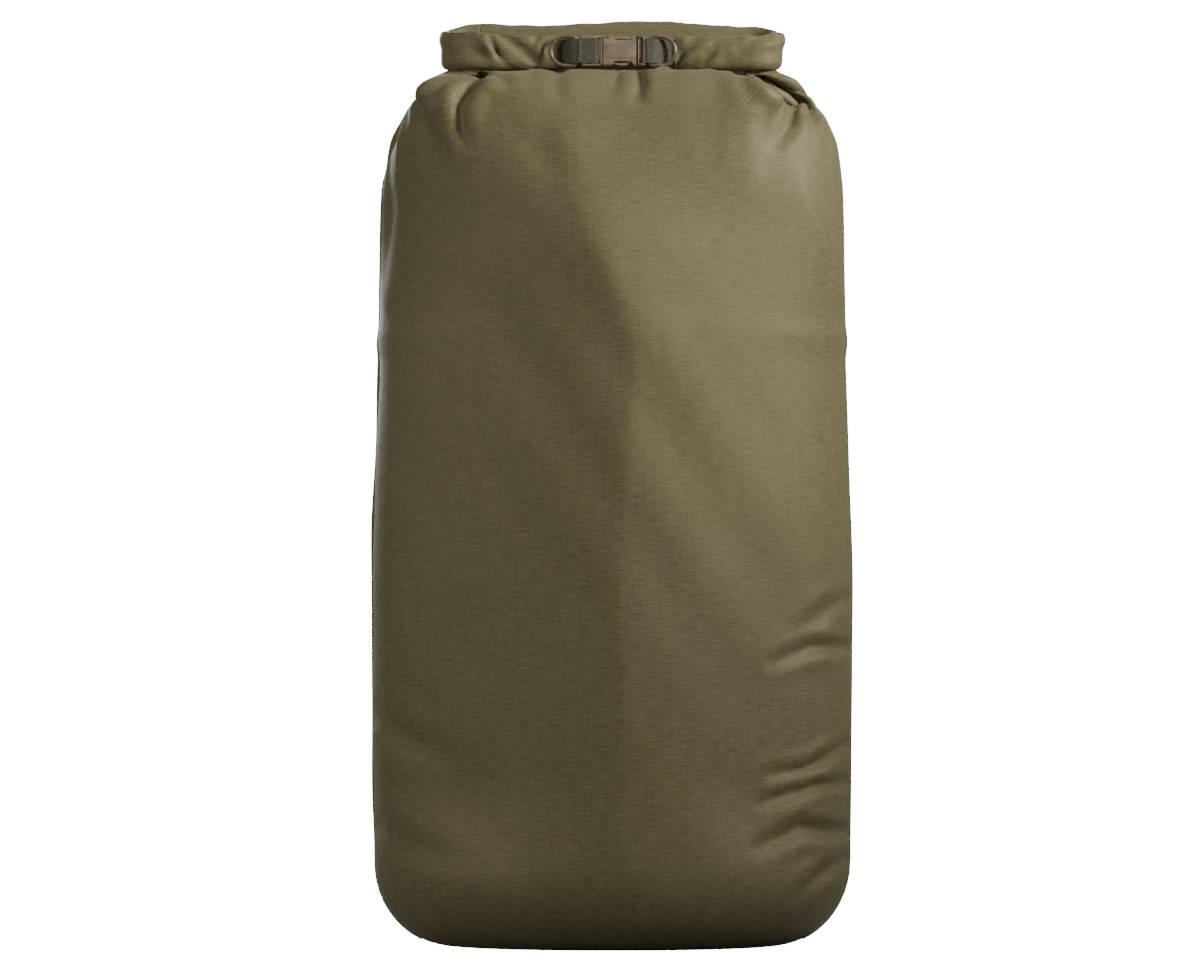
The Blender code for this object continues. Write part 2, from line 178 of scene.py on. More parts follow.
def pinned_ring():
    return wall_ring(wall_half_width(PINNED_Z), WALL_HALF_DEPTH, PINNED_Z)


def start_rows():
    """The bag with its mouth held flat and open wide, before it is filled out and bent round."""
    ring, top = pinned_ring(), mouth_row(0)
    rows = between(ring, top, ROW_SHARE[:, None, None] ** 2.2)
    rows[..., 2] = between(PINNED_Z, top[:, 2], ROW_SHARE[:, None])
    return rows.reshape(-1, 3)


def shoulder_half_width(z):
    share = np.clip((z - 0.72) / 0.18, 0, 1)
    return 0.235 * (1 - share**2.5) ** (1 / 3)


def dome_half_depth(z):
    share = np.clip((z - 0.66) / 0.216, 0, 1)
    return WALL_HALF_DEPTH * (1 - share**2.2) ** (1 / 2.2)


def filled_rows():
    """The shape that the contents give the top of the bag."""
    heights = np.linspace(PINNED_Z, 0.876, 400)
    arc = run_length(heights, dome_half_depth(heights))
    z = np.interp(ROW_SHARE * FRONT_ARC, arc, heights)[:, None]
    x, y = on_section(COLUMN_ANGLE, shoulder_half_width(z), dome_half_depth(z))
    return np.stack([x, y, np.broadcast_to(z, x.shape)], -1).reshape(-1, 3)


SHOULDER = 0.15  # from the lowest simulated row, this far up the front, the cloth turns in to the roll
SPARE = 1.12  # how much longer than the shortest way the cloth is from there on


def unstretched_rows(filled):
    """The cloth's own size: a tube with columns long enough to reach from the filled shape to the roll."""
    ring = filled.reshape(ROWS + 1, COLUMNS, 3)[round(SHOULDER / FRONT_ARC * ROWS)]
    length = SHOULDER + np.linalg.norm(mouth_row(1) - ring, axis=1) * SPARE
    for _ in range(3):
        length = (np.roll(length, 1) + 2 * length + np.roll(length, -1)) / 4
    rows = np.tile(pinned_ring(), (ROWS + 1, 1, 1))
    rows[..., 2] = PINNED_Z + ROW_SHARE[:, None] * length
    return rows.reshape(-1, 3)


FOLD_STAGES = 8
FOLD_FRAMES = 36
SETTLE_FRAMES = 24


def stage_frame(stage):
    return 1 + FOLD_FRAMES * stage / FOLD_STAGES


def key_stages(obj, shape_at):
    """Shape keys that carry the mesh through the fold, one after the other."""
    if not obj.data.shape_keys:
        obj.shape_key_add(name="Basis")
    for stage in range(1, FOLD_STAGES + 1):
        key = obj.shape_key_add(name=f"fold_{stage}")
        key.data.foreach_set("co", shape_at(stage / FOLD_STAGES).ravel())
        key.keyframe_insert("value", frame=1)
        key.keyframe_insert("value", frame=stage_frame(stage - 1))
        if stage < FOLD_STAGES:
            key.keyframe_insert("value", frame=stage_frame(stage + 1))
        key.value = 1
        key.keyframe_insert("value", frame=stage_frame(stage))
    for curve in obj.data.shape_keys.animation_data.action.fcurves:
        for point in curve.keyframe_points:
            point.interpolation = "LINEAR"


def tube_faces(rows, columns):
    faces = []
    for row in range(rows - 1):
        for column in range(columns):
            beside = (column + 1) % columns
            low, high = row * columns, (row + 1) * columns
            faces.append((low + beside, low + column, high + column, high + beside))
    return faces


def capped_tube_faces(rows, columns):
    last = (rows - 1) * columns
    return tube_faces(rows, columns) + [tuple(range(columns)), tuple(range(last, last + columns))]


def add_object(name, data):
    obj = bpy.data.objects.new(name, data)
    bpy.context.scene.collection.objects.link(obj)
    return obj


def add_mesh(name, points, faces):
    mesh = bpy.data.meshes.new(name)
    mesh.from_pydata([tuple(point) for point in points], [], faces)
    mesh.update()
    return add_object(name, mesh)


def set_all(target, **values):
    for name, value in values.items():
        setattr(target, name, value)


def face_outward(obj):
    work = bmesh.new()
    work.from_mesh(obj.data)
    bmesh.ops.recalc_face_normals(work, faces=work.faces)
    if work.calc_volume(signed=True) < 0:
        bmesh.ops.reverse_faces(work, faces=work.faces)
    work.to_mesh(obj.data)
    work.free()


PRESS_STATIONS, PRESS_AROUND = 61, 10
PRESS_HALF, PRESS_HEIGHT = 6.5 * MM, 30 * MM
PRESS_GAP = 2 * MM


def press_roll(fold):
    """A stadium-shaped tube along the mouth, just above the held row, that the cloth can't pass."""
    distance = np.linspace(-LEFT_LENGTH, RIGHT_LENGTH, PRESS_STATIONS)
    x, y, out_x, out_y, bent = along_mouth(distance, fold)
    z = held_height(fold, bent)
    rows = []
    for step in range(PRESS_AROUND):
        turn = 2 * math.pi * step / PRESS_AROUND
        away = PRESS_HALF * math.cos(turn)
        rise = math.sin(turn) * (PRESS_HALF if math.sin(turn) < 0 else PRESS_HEIGHT)
        rows.append(np.stack([x + away * out_x, y + away * out_y, z + PRESS_GAP + PRESS_HALF + rise], 1))
    return np.stack(rows, 1).reshape(-1, 3)


def add_press():
    """The collision body that stands for the roll while the cloth settles."""
    press = add_mesh("press", press_roll(0), capped_tube_faces(PRESS_STATIONS, PRESS_AROUND))
    face_outward(press)
    key_stages(press, press_roll)
    press.modifiers.new("collision", "COLLISION")
    set_all(press.collision, thickness_outer=PRESS_GAP, cloth_friction=0)
    return press


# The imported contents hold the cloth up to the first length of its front, and let go of it by the second.
HOLD_UNTIL, HOLD_END = 0.19, 0.27
HOLD = 0.6


def hold_rows(cloth):
    """How firmly each row is held: the two lowest and the top one fully."""
    held = cloth.vertex_groups.new(name="held")
    for row in range(ROWS + 1):
        height = ROW_SHARE[row] * FRONT_ARC
        weight = HOLD * (1 - float(ease((height - HOLD_UNTIL) / (HOLD_END - HOLD_UNTIL))))
        if row in (0, 1, ROWS):
            weight = 1.0
        if weight > 0:
            held.add(list(range(row * COLUMNS, (row + 1) * COLUMNS)), weight, "REPLACE")


def vertex_values(mesh, kind):
    """Each vertex's place ("co") or direction ("normal")."""
    found = np.empty(len(mesh.vertices) * 3)
    mesh.vertices.foreach_get(kind, found)
    return found.reshape(-1, 3)


def settled_top():
    """The top of the bag as cloth: filled, bent round with the roll and left to settle."""
    filled = filled_rows()
    start = start_rows()
    cloth = add_mesh("settling", start, tube_faces(ROWS + 1, COLUMNS))
    cloth.shape_key_add(name="Basis")
    size = cloth.shape_key_add(name="size")
    size.data.foreach_set("co", unstretched_rows(filled).ravel())

    def shape_at(fold):
        points = between(start, filled, ease(fold))
        points[-COLUMNS:] = mouth_row(fold)
        return points

    key_stages(cloth, shape_at)
    hold_rows(cloth)
    press = add_press()
    scene = bpy.context.scene
    scene.frame_start = 1
    scene.frame_end = 1 + FOLD_FRAMES + SETTLE_FRAMES
    modifier = cloth.modifiers.new("cloth", "CLOTH")
    modifier.point_cache.frame_end = scene.frame_end
    set_all(
        modifier.settings, quality=8, mass=0.02, air_damping=2,
        tension_stiffness=80, compression_stiffness=80, shear_stiffness=30, bending_stiffness=10,
        tension_damping=8, compression_damping=8, shear_damping=5, bending_damping=0.5,
        vertex_group_mass="held", pin_stiffness=5, rest_shape_key=size,
        use_pressure=True, uniform_pressure_force=400,
    )
    modifier.settings.effector_weights.gravity = 0.5
    set_all(
        modifier.collision_settings, use_self_collision=True, self_distance_min=3 * MM, self_friction=0,
        collision_quality=3, distance_min=3 * MM,
    )
    for number in range(1, scene.frame_end + 1):
        scene.frame_set(number)
    settled = cloth.evaluated_get(bpy.context.evaluated_depsgraph_get()).to_mesh()
    points = vertex_values(settled, "co")
    for obj in (cloth, press):
        bpy.data.objects.remove(obj, do_unlink=True)
    return points


def grid_smooth(points, rows, times, first):
    """Evens out the smallest gathers, keeping the first rows and the last."""
    grid = points.reshape(rows, COLUMNS, 3).copy()
    for _ in range(times):
        around = ((np.roll(grid, 1, axis=1) + np.roll(grid, -1, axis=1)) / 2)[first:-1]
        grid[first:-1] = 0.5 * grid[first:-1] + 0.3 * around + 0.1 * (grid[first - 1:-2] + grid[first + 1:])
    return grid.reshape(-1, 3)


def outline_half_width(z):
    """Half the width of the settled bag, from its straight sides over the shoulders to the neck."""
    share = np.clip((z - 0.70) / 0.205, 0, 1)
    return wall_half_width(z) * (1 - share**4) ** (1 / 2.6)


def fit_shoulders(points):
    """Keeps the sides on a smooth slope from the ends of the roll out to the shoulders, pleats and all."""
    grid = points.copy()
    neck = BEND_X + BEND_RADIUS + 2 * MM
    slices = np.linspace(PINNED_Z + 12 * MM, NECK_Z - 5 * MM, 40)
    band = (slices[1] - slices[0]) * 0.8
    for side in (-1, 1):
        reach = np.array([np.max(side * grid[np.abs(grid[:, 2] - z) < band, 0]) for z in slices])
        target = np.maximum(outline_half_width(slices), neck)
        factor = target / reach
        even_out(factor, 2)
        here = np.interp(grid[:, 2], slices, factor) - 1
        fade = ease((grid[:, 2] - PINNED_Z) / 0.03) * ease((MOUTH_WING_Z - 1 * MM - grid[:, 2]) / (5 * MM))
        share = side * grid[:, 0] / np.interp(grid[:, 2], slices, reach)
        grid[:, 0] *= 1 + here * fade * ease((share - 0.3) / 0.6)
    return grid


CREST_GAP = 3.5 * MM
CREST_SLOPE = 0.145  # the further forward the bag bulges, the lower its crest lies


def raise_crest(points):
    """Brings the front of the bag up against the underside of the roll, all along it."""
    grid = points.reshape(ROWS + 1, COLUMNS, 3).copy()
    roll_underside = WING_MIDDLE_Z - WING_HALF_HEIGHT
    front = np.arange(COLUMNS // 2 + 1, COLUMNS)
    lean = -0.6 * grid[:, front, 1] + 0.8 * grid[:, front, 2]
    crest = np.argmax(lean[:-4], axis=0)
    x, y, z = (grid[crest, front, axis] for axis in range(3))
    line = roll_underside - CREST_GAP - CREST_SLOPE * np.clip(-y - 0.045, 0, None)
    lift = (line - z) * ease((0.200 - np.abs(x)) / 0.035)
    even_out(lift, 3)
    for index, column in enumerate(front):
        rows = grid[:, column]
        top = crest[index]
        below = ease((rows[:, 2] - 0.72) / (z[index] - 0.72))
        after = 1 - ease((np.arange(ROWS + 1) - top) / max(ROWS - top, 1))
        rows[:, 2] += lift[index] * np.where(np.arange(ROWS + 1) <= top, below, after)
    return grid.reshape(-1, 3)


def wall_rows():
    """The wall from the ground to the simulated cloth, as rows of points, and the height of each row."""
    heights = [BASE_ROUNDING * (1 - math.cos(math.pi / 2 * step / 12)) for step in range(13)]
    heights += list(np.arange(BASE_ROUNDING + 10 * MM, PINNED_Z - 5 * MM, 10 * MM))
    rows = []
    for z in heights:
        low = max(0.0, 1 - z / BASE_ROUNDING)
        bulge = math.sqrt(1 - low * low)
        full = wall_half_width(max(z, BASE_ROUNDING)) + SIDE_BULGE * ease((PINNED_Z - z) / 0.25)
        depth = between(BASE_HALF_DEPTH, WALL_HALF_DEPTH, bulge)
        rows.append(wall_ring(between(BASE_HALF_WIDTH, full, bulge), depth, z))
    return rows


# Creases of the front, each as points (x, z), its depth and its width, all in mm.
BODY_CREASES = (
    (((240, 296), (205, 297), (165, 281)), 7, 7),
    (((238, 345), (215, 332), (190, 306)), 4, 8),
    (((242, 204), (215, 186), (196, 176), (160, 172)), 7, 6),
    (((242, 163), (205, 160), (150, 144)), 7, 6),
    (((240, 112), (190, 120), (145, 100)), 7, 8),
    (((240, 92), (205, 72), (180, 52)), 6, 7),
    (((-238, 232), (-205, 205), (-172, 190)), 3, 12),
    (((-236, 122), (-200, 100), (-150, 88)), 3, 12),
    (((-80, 790), (-58, 760), (-36, 715)), 2.5, 16),
    # pleats below the roll, from left to right
    (((-132, 868), (-150, 858), (-172, 843), (-188, 830)), 7, 5),
    (((-130, 860), (-145, 842), (-151, 825), (-150, 805), (-144, 793)), 11, 7.5),
    (((-126, 868), (-115, 858), (-101, 847)), 8, 6),
    (((-50, 868), (-56, 850), (-50, 830)), 3.5, 8),
    (((10, 868), (4, 855), (-4, 845)), 4, 7),
    (((26, 868), (28, 850), (24, 832)), 7, 7),
    (((122, 868), (130, 850), (140, 832)), 7, 7),
    (((178, 826), (177, 812), (163, 792)), 7, 7),
    (((138, 866), (160, 852), (182, 836), (200, 820)), 9, 7.5),
)
RIDGE_PATH = ((0.0, 8), (0.42, 8), (0.59, 22), (0.68, -14), (0.766, -52), (0.84, -18))  # height, and x in mm
RIDGE_TIP = 6 * MM  # half width of its rounded tip
FLANK_WIDTH = 225 * MM
FLANK_DROP = 42 * MM
PINCH = 2 * MM
# Under the buckle the cloth stays low, so that the latch arms can slide out over it.
SLIDE_X, SLIDE_HALF, SLIDE_Y = -10 * MM, 55 * MM, -47.5 * MM
SLIDE_CEILING = WING_MIDDLE_Z - WING_HALF_HEIGHT - 0.5 * MM


def crease_field(x, z, creases):
    """How far the cloth stands out: a valley along each crease, with a soft bank on either side."""
    rise = np.zeros_like(x)
    for path, depth, width in creases:
        path, depth, width = np.array(path) * MM, depth * MM, width * MM
        nearest = np.full_like(x, 1.0)
        total = len(path) - 1
        fade = np.zeros_like(x)
        for step in range(total):
            (x0, z0), (x1, z1) = path[step], path[step + 1]
            length2 = (x1 - x0) ** 2 + (z1 - z0) ** 2
            share = np.clip(((x - x0) * (x1 - x0) + (z - z0) * (z1 - z0)) / length2, 0, 1)
            away = np.hypot(x - x0 - share * (x1 - x0), z - z0 - share * (z1 - z0))
            closer = away < nearest
            nearest = np.where(closer, away, nearest)
            fade = np.where(closer, (step + share) / total, fade)
        strength = 1 - 0.8 * fade**1.5
        valley = np.exp(-((nearest / width) ** 2))
        bank = np.exp(-(((nearest - 1.9 * width) / width) ** 2))
        rise += depth * strength * (0.45 * bank - valley)
    return rise


def pinched(x, z, creases, reach):
    """The crease field, with the cloth beside each crease drawn in over it: rise, and shift in x and z."""
    tiny = 0.5 * MM
    rise = crease_field(x, z, creases)
    slope_x = (crease_field(x + tiny, z, creases) - crease_field(x - tiny, z, creases)) / (2 * tiny)
    slope_z = (crease_field(x, z + tiny, creases) - crease_field(x, z - tiny, creases)) / (2 * tiny)
    steep = reach / (1 + np.hypot(slope_x, slope_z))
    return rise, -slope_x * steep, -slope_z * steep


def smooth_path(value, path, softness):
    """The height of a line through the points of path, with its corners rounded off over this distance."""
    places, heights = zip(*path)
    total = sum(np.interp(value + softness * step / 4, places, heights) for step in range(-4, 5))
    return total / 9


def wave(value, *periods):
    """A few sine waves added up: an uneven ripple between about -1 and 1."""
    ripples = [np.sin(2 * math.pi * value / period + 1.7 * index) for index, period in enumerate(periods)]
    return sum(ripples) / len(periods)


def body_detail(mesh):
    """Creases of the front, the ridge down its middle with flatter flanks beside it, and slow unevenness."""
    points, normals = vertex_values(mesh, "co"), vertex_values(mesh, "normal")
    x, z = points[:, 0], points[:, 2]
    front = ease(-points[:, 1] / 0.03)
    rise, shift_x, shift_z = pinched(x, z, BODY_CREASES, PINCH)
    inside = ease((0.232 - np.abs(x)) / 0.020)
    banks = inside * ease((0.868 - z) / 0.030)
    rise = np.where(rise > 0, rise * banks, rise) * front
    from_ridge = x - smooth_path(z, RIDGE_PATH, 0.03) * MM
    flank = np.clip((np.sqrt(from_ridge**2 + RIDGE_TIP**2) - RIDGE_TIP) / FLANK_WIDTH, 0, 1)
    rise -= FLANK_DROP * flank * (1 - flank**2) * front * ease((z - 0.02) / 0.15) * ease((0.86 - z) / 0.16)
    angle = np.arctan2(points[:, 1], x)
    lumps = wave(angle * 0.18 + 0.3 * z, 0.21, 0.137) * wave(z + 0.1 * angle, 0.31, 0.19)
    rise += 2.2 * MM * lumps * ease((z - 0.03) / 0.1) * ease((0.72 - z) / 0.15)
    moved = points + normals * rise[:, None]
    moved[:, 0] += shift_x * front * inside
    moved[:, 2] += shift_z * front * inside
    near = (np.abs(moved[:, 0] - SLIDE_X) < SLIDE_HALF) & (moved[:, 1] < SLIDE_Y)
    moved[:, 2] = np.where(near, np.minimum(moved[:, 2], SLIDE_CEILING), moved[:, 2])
    return moved


def map_threads(obj, across, along):
    """A UV map in metres along the cloth's threads, from each vertex's place across and along it."""
    layer = obj.data.uv_layers.new(name="threads")
    for polygon in obj.data.polygons:
        corners = list(polygon.loop_indices)
        places = [obj.data.loops[corner].vertex_index for corner in corners]
        first = across[places[0]]
        for corner, place in zip(corners, places):
            turns = round((across[place] - first) / GIRTH)
            layer.data[corner].uv = (across[place] - turns * GIRTH, along[place])


def finish_mesh(obj, material):
    obj.data.materials.clear()
    obj.data.materials.append(material)
    obj.data.shade_smooth()
    return obj


def evaluated_mesh(obj):
    return bpy.data.meshes.new_from_object(obj.evaluated_get(bpy.context.evaluated_depsgraph_get()))


def apply_modifier(obj, kind, **settings):
    set_all(obj.modifiers.new(kind, kind), **settings)
    baked = evaluated_mesh(obj)
    obj.modifiers.clear()
    obj.data = baked


def install(obj, slot, body, *nodes):
    """Hides the CAD nodes that a piece stands for and, if a body is given, attaches the piece to it. The slot
    is not used.
    """
    if nodes:
        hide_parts(*nodes)
    if body:
        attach(obj, body)


def make_body(material):
    """The filled bag as one closed skin, from its base to the mouth inside the roll."""
    top = fit_shoulders(raise_crest(grid_smooth(settled_top(), ROWS + 1, 2, 2)))
    rows = wall_rows()
    shrink = (0.1, 0.35, 0.6, 0.85)
    base_rows = [rows[0] * (scale, scale, 1) for scale in shrink]
    all_rows = base_rows + rows + [top[start:start + COLUMNS] for start in range(0, len(top), COLUMNS)]
    count = len(all_rows)
    points = np.concatenate(all_rows)
    faces = tube_faces(count, COLUMNS)
    last = (count - 1) * COLUMNS
    for column in range(COLUMNS // 2):
        opposite = (COLUMNS - column) % COLUMNS
        corners = [last + opposite, last + column, last + column + 1, last + (COLUMNS - column - 1) % COLUMNS]
        faces.append(tuple(dict.fromkeys(corners)))
    faces.append(tuple(range(COLUMNS)))
    body = add_mesh("sack_cloth", points, faces)
    face_outward(body)
    shaped = body_detail(body.data)
    lengths = [0.0]
    for low, high in zip(all_rows, all_rows[1:]):
        lengths.append(lengths[-1] + float(np.median(np.linalg.norm(high - low, axis=1))))
    across = np.tile(COLUMN_SHARE * GIRTH, count)
    map_threads(body, across, np.repeat(lengths, COLUMNS))
    finish_mesh(body, material)
    apply_modifier(body, "SUBSURF", levels=1, render_levels=1)
    body.data.vertices.foreach_set("co", body_detail(body.data).ravel())
    body.data.update()
    body.data.shade_smooth()
    install(body, "olive_cloth", None, "front_panel", "back_panel", "bottom_panel")
    blend_with_roll(body)
    return shaped.reshape(count, COLUMNS, 3)[len(base_rows):]


def blend_with_roll(obj):
    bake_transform(obj)


SEAM_TOP_Z = 0.79
TAPE_THICKNESS = 0.6 * MM


def make_strip(name, centre, across, out, outline, material):
    """A strip swept along a line of points: outline is its section, as (share across, height) pairs."""
    points = []
    for place, side, normal in zip(centre, across, out):
        for u, v in outline:
            points.append(place + side * u + normal * v)
    strip = add_mesh(name, points, capped_tube_faces(len(centre), len(outline)))
    face_outward(strip)
    return finish_mesh(strip, material)


def frame_along(grid, column):
    """The seam line down one column of the body, with the directions across it and out of the cloth."""
    centre = grid[:, column]
    across = unit(grid[:, (column + 1) % COLUMNS] - grid[:, column - 1])
    out = np.cross(across, unit(np.gradient(centre, axis=0)))
    out *= np.sign(np.sum(out * (centre * (1, 1, 0)), axis=1))[:, None]
    return centre, across, unit(out)


def make_seams(grid, cloth, tape):
    """Each side seam: a folded welt outside and a strip of sealing tape inside."""
    for name, column in (("left", 0), ("right", COLUMNS // 2)):
        centre, across, out = frame_along(grid, column)
        top = int(np.argmax(centre[:, 2] > SEAM_TOP_Z))
        half, rise = 2.6 * MM, 1.8 * MM
        welt_outline = [(-half, -rise), (-half, 0.3 * MM), (-half * 0.5, rise * 0.8), (0, rise * 0.55)]
        welt_outline += [(half * 0.5, rise * 0.8), (half, 0.3 * MM), (half, -rise)]
        welt = make_strip(f"{name}_seam_welt", centre[3:top], across[3:top], out[3:top], welt_outline, cloth)
        install(welt, "olive_cloth", None)
        blend_with_roll(welt)
        half, inside = 10 * MM, -4.5 * MM
        deep = inside - TAPE_THICKNESS
        tape_outline = [(-half, inside), (half, inside), (half, deep), (-half, deep)]
        strip = make_strip(f"{name}_tape", centre[5:top], across[5:top], out[5:top], tape_outline, tape)
        install(strip, "seam_tape", None, f"{name}_seam_tape")
        blend_with_roll(strip)


def make_base_tape(grid, tape):
    """The sealing tape round the inside of the base seam."""
    rings = [grid[row] * (0.975, 0.96, 1) + (0, 0, 2 * MM) for row in (1, 3, 5)]
    strip = add_mesh("base_tape", np.concatenate(rings), tube_faces(len(rings), COLUMNS))
    apply_modifier(strip, "SOLIDIFY", thickness=TAPE_THICKNESS)
    face_outward(strip)
    finish_mesh(strip, tape)
    install(strip, "seam_tape", "sack", "bottom_seam_tape")


# ---- the rolled mouth ----
ROLL_CORE = 3.2 * MM
ROLL_PITCH = 2.0 * MM
HALF_TURNS = 4
ARC_STEPS = 6
FLAT_STEPS = 7
LAYER = 0.9 * MM
STATION_PITCH = 3.5 * MM
LIP_BACK, LIP_SLANT = 52 * MM, 28 * MM  # how much sooner the left wing's outer layer ends, and more above
LIP_RISE = 4.2 * MM
JOIN_GAP = 0.3 * MM
TOP_PINCH = 0.55  # how much thinner the roll is along its top
CORNER_FLARE = 4 * MM
CORNER_PEAK = 4.5 * MM
RING_SQUASH = 0.45  # the wings are pressed flatter behind the D-rings, by this share of their thickness
# How much the top edge rises or sinks in mm, by distance from the middle of the back, left and right of it.
TOP_EDGE = ((-0.17, -6), (-0.14, 1), (-0.073, -3), (0, 2), (0.03, 4))
TOP_EDGE += ((0.07, 2), (0.11, -3), (0.15, -4), (0.18, -8))


def top_edge(distance):
    """How far the rim rises above its even height: along the back, and at the left corner where it peaks."""
    reach = ease((BEND_X + 0.8 * BEND_LENGTH - np.abs(distance)) / (0.8 * BEND_LENGTH))
    back = (smooth_path(distance, TOP_EDGE, 0.018) + 0.7 * wave(distance, 0.047, 0.029)) * reach
    corner = CORNER_PEAK * np.exp(-(((distance + BEND_X + BEND_LENGTH) / (22 * MM)) ** 2))
    return back * MM + corner


def roll_section():
    """The section of the roll, from its core outwards: for each point how far it is wound up, which way it
    faces and its lift (-1 to 1 of the flat half height)."""
    section = []
    for half_turn in range(HALF_TURNS):
        flat = 1 - 2 * (half_turn % 2)
        angles = [math.pi * (half_turn + step / ARC_STEPS) for step in range(ARC_STEPS + 1)]
        section += [(angle, angle, flat) for angle in angles]
        lifts = [flat * (1 - 2 * step / FLAT_STEPS) for step in range(1, FLAT_STEPS)]
        section += [(angles[-1], angles[-1], lift) for lift in lifts]
    angle = section[-1][0]
    return section + [(angle, angle, 1.0), (angle, angle + 0.5, 1.12)]


SECTION = roll_section()
OUTER_FLAT = len(SECTION) - FLAT_STEPS - 1  # where the outermost flat of the section starts


# Creases in the outer face of each wing, as points (x, z), depth and width, all in mm.
LEFT_CREASES = (
    (((-110, 905), (-90, 889), (-64, 869)), 6.5, 5.5),
    (((-121, 902), (-114, 886), (-106, 870)), 5.5, 3.8),
    (((-72, 908), (-78, 896), (-88, 887)), 4, 4),
)
RIGHT_CREASES = (
    (((58, 866), (68, 882), (84, 903)), 6.5, 4.6),
    (((73, 868), (90, 876), (103, 892), (124, 899)), 6, 4.4),
    (((160, 906), (144, 901), (126, 890)), 5.5, 4.5),
)


def wing_face(side, x, y, z, creases, layer):
    """The creases of a wing, which reach into its inner layers, and how far each place is on the wing."""
    on_wing = ease((-34 * MM - y) / (8 * MM))
    face = crease_field(side * np.abs(x), z, creases) * ease((np.abs(x) - 60 * MM) / (12 * MM))
    deepest, highest = (-5 * MM, 3 * MM) if layer > 0.7 else (-3.5 * MM, 1 * MM)
    return np.clip(face, deepest, highest) * on_wing, on_wing


def roll_line(index, side, first, last, stations, creases):
    """One line of the wound sheet, from end to end of the roll: how far along the mouth, and its points."""
    angle, turn, lift = SECTION[index]
    layer = angle / (HALF_TURNS * math.pi)
    end = last
    if side < 0:
        lip = float(ease((index - OUTER_FLAT + 6) / 6))
        end -= lip * (LIP_BACK + LIP_SLANT * (0.5 + 0.5 * lift))
    distance = side * np.linspace(first, end, stations)
    x, y, out_x, out_y, bent = along_mouth(distance)
    bend = ease(bent)
    middle_z = between(BACK_MIDDLE_Z, WING_MIDDLE_Z, bend)
    half_height = between(BACK_HALF_HEIGHT, WING_HALF_HEIGHT, bend)
    radius = ROLL_CORE + LAYER / 2 + ROLL_PITCH * angle / (2 * math.pi) * (1 - 0.12 * layer)
    z = middle_z + radius * math.sin(turn) + lift * (half_height - ROLL_HALF_THICKNESS)
    z += top_edge(distance) * ease(lift * 0.5 + 0.5) * (0.4 + 0.6 * layer)
    height = (z - middle_z) / half_height
    outside = float(ease(math.cos(turn) * 4))
    face, on_wing = wing_face(side, x, y, z, creases, layer)
    away = radius * math.cos(turn) * (1 - TOP_PINCH * ease((height - 0.15) / 0.85))
    away *= 1 - RING_SQUASH * on_wing * outside * ease((74 * MM - np.abs(x)) / (8 * MM))
    away += face * outside
    away += 1.3 * MM * wave(distance + 0.4 * z, 0.061, 0.034) * outside * layer * (1 - 0.6 * on_wing)
    if side < 0:
        near_end = ease((np.abs(distance) - end + 22 * MM) / (22 * MM))
        away += LIP_RISE * near_end * float(ease((index - OUTER_FLAT) / 3))
    at_bend = np.exp(-(((bent - 0.55) / 0.35) ** 2))
    away += CORNER_FLARE * at_bend * float(ease((lift - 0.1) / 0.8)) * (index > OUTER_FLAT)
    return distance, np.stack([x + away * out_x, y + away * out_y, z], 1)


def make_roll(name, side, first, last, creases, material):
    """The roll from one distance along the mouth to another, as one sheet wound into a flattened spiral."""
    stations = int((last - first) / STATION_PITCH) + 1
    lines = [roll_line(index, side, first, last, stations, creases) for index in range(len(SECTION))]
    distances, points = zip(*lines)
    steps = [np.linalg.norm(high[0] - low[0]) for low, high in zip(points, points[1:])]
    run = np.concatenate([[0], np.cumsum(steps)])
    faces = []
    for row in range(len(SECTION) - 1):
        for low in range(row * stations, (row + 1) * stations - 1):
            faces.append((low, low + 1, low + stations + 1, low + stations))
    roll = add_mesh(name, np.concatenate(points), faces)
    if side > 0:
        roll.data.flip_normals()
    map_threads(roll, np.abs(np.concatenate(distances)), np.repeat(run, stations))
    finish_mesh(roll, material)
    apply_modifier(roll, "SOLIDIFY", thickness=LAYER, offset=0, edge_crease_rim=1)
    apply_modifier(roll, "SUBSURF", levels=1, render_levels=1)
    roll.data.shade_smooth()
    roll.data.set_sharp_from_angle(angle=math.radians(70))
    return roll


def bend_with_wing(piece):
    """Bakes the piece's transform into its mesh."""
    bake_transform(piece)


def make_rolls(material):
    join = BEND_X - 6 * MM
    right = make_roll("roll_cloth", 1, -join - JOIN_GAP, RIGHT_LENGTH, RIGHT_CREASES, material)
    install(right, "olive_cloth", "closure", "rolled_mouth")
    left = make_roll("roll_cloth_left", -1, join, LEFT_LENGTH, LEFT_CREASES, material)
    install(left, "olive_cloth", None, "rolled_mouth_left")
    bend_with_wing(left)


def make_left_rim(material):
    """The left part of the strap in the middle of the roll."""
    stations = 60
    short = LEFT_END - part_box("rim_webbing_left")[1].x
    first = JOIN_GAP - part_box("rim_webbing")[0].x
    x, y, _, _, bent = along_mouth(-np.linspace(first, LEFT_LENGTH - short, stations))
    middle_z = between(BACK_MIDDLE_Z, WING_MIDDLE_Z, ease(bent))
    points = np.concatenate([np.stack([x, y, middle_z + side * TAB_HALF_WIDTH], 1) for side in (-1, 1)])
    faces = [(k, k + 1, stations + k + 1, stations + k) for k in range(stations - 1)]
    rim = finish_mesh(add_mesh("left_rim_strap", points, faces), material)
    apply_modifier(rim, "SOLIDIFY", thickness=STRAP, offset=0)
    install(rim, "webbing", None, "rim_webbing_left")
    bend_with_wing(rim)


def dress_right_rim(material):
    """The right part of that strap keeps its shape from the frame."""
    rim = finish_mesh(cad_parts["rim_webbing"], material)
    rim.data.set_sharp_from_angle(angle=math.radians(40))


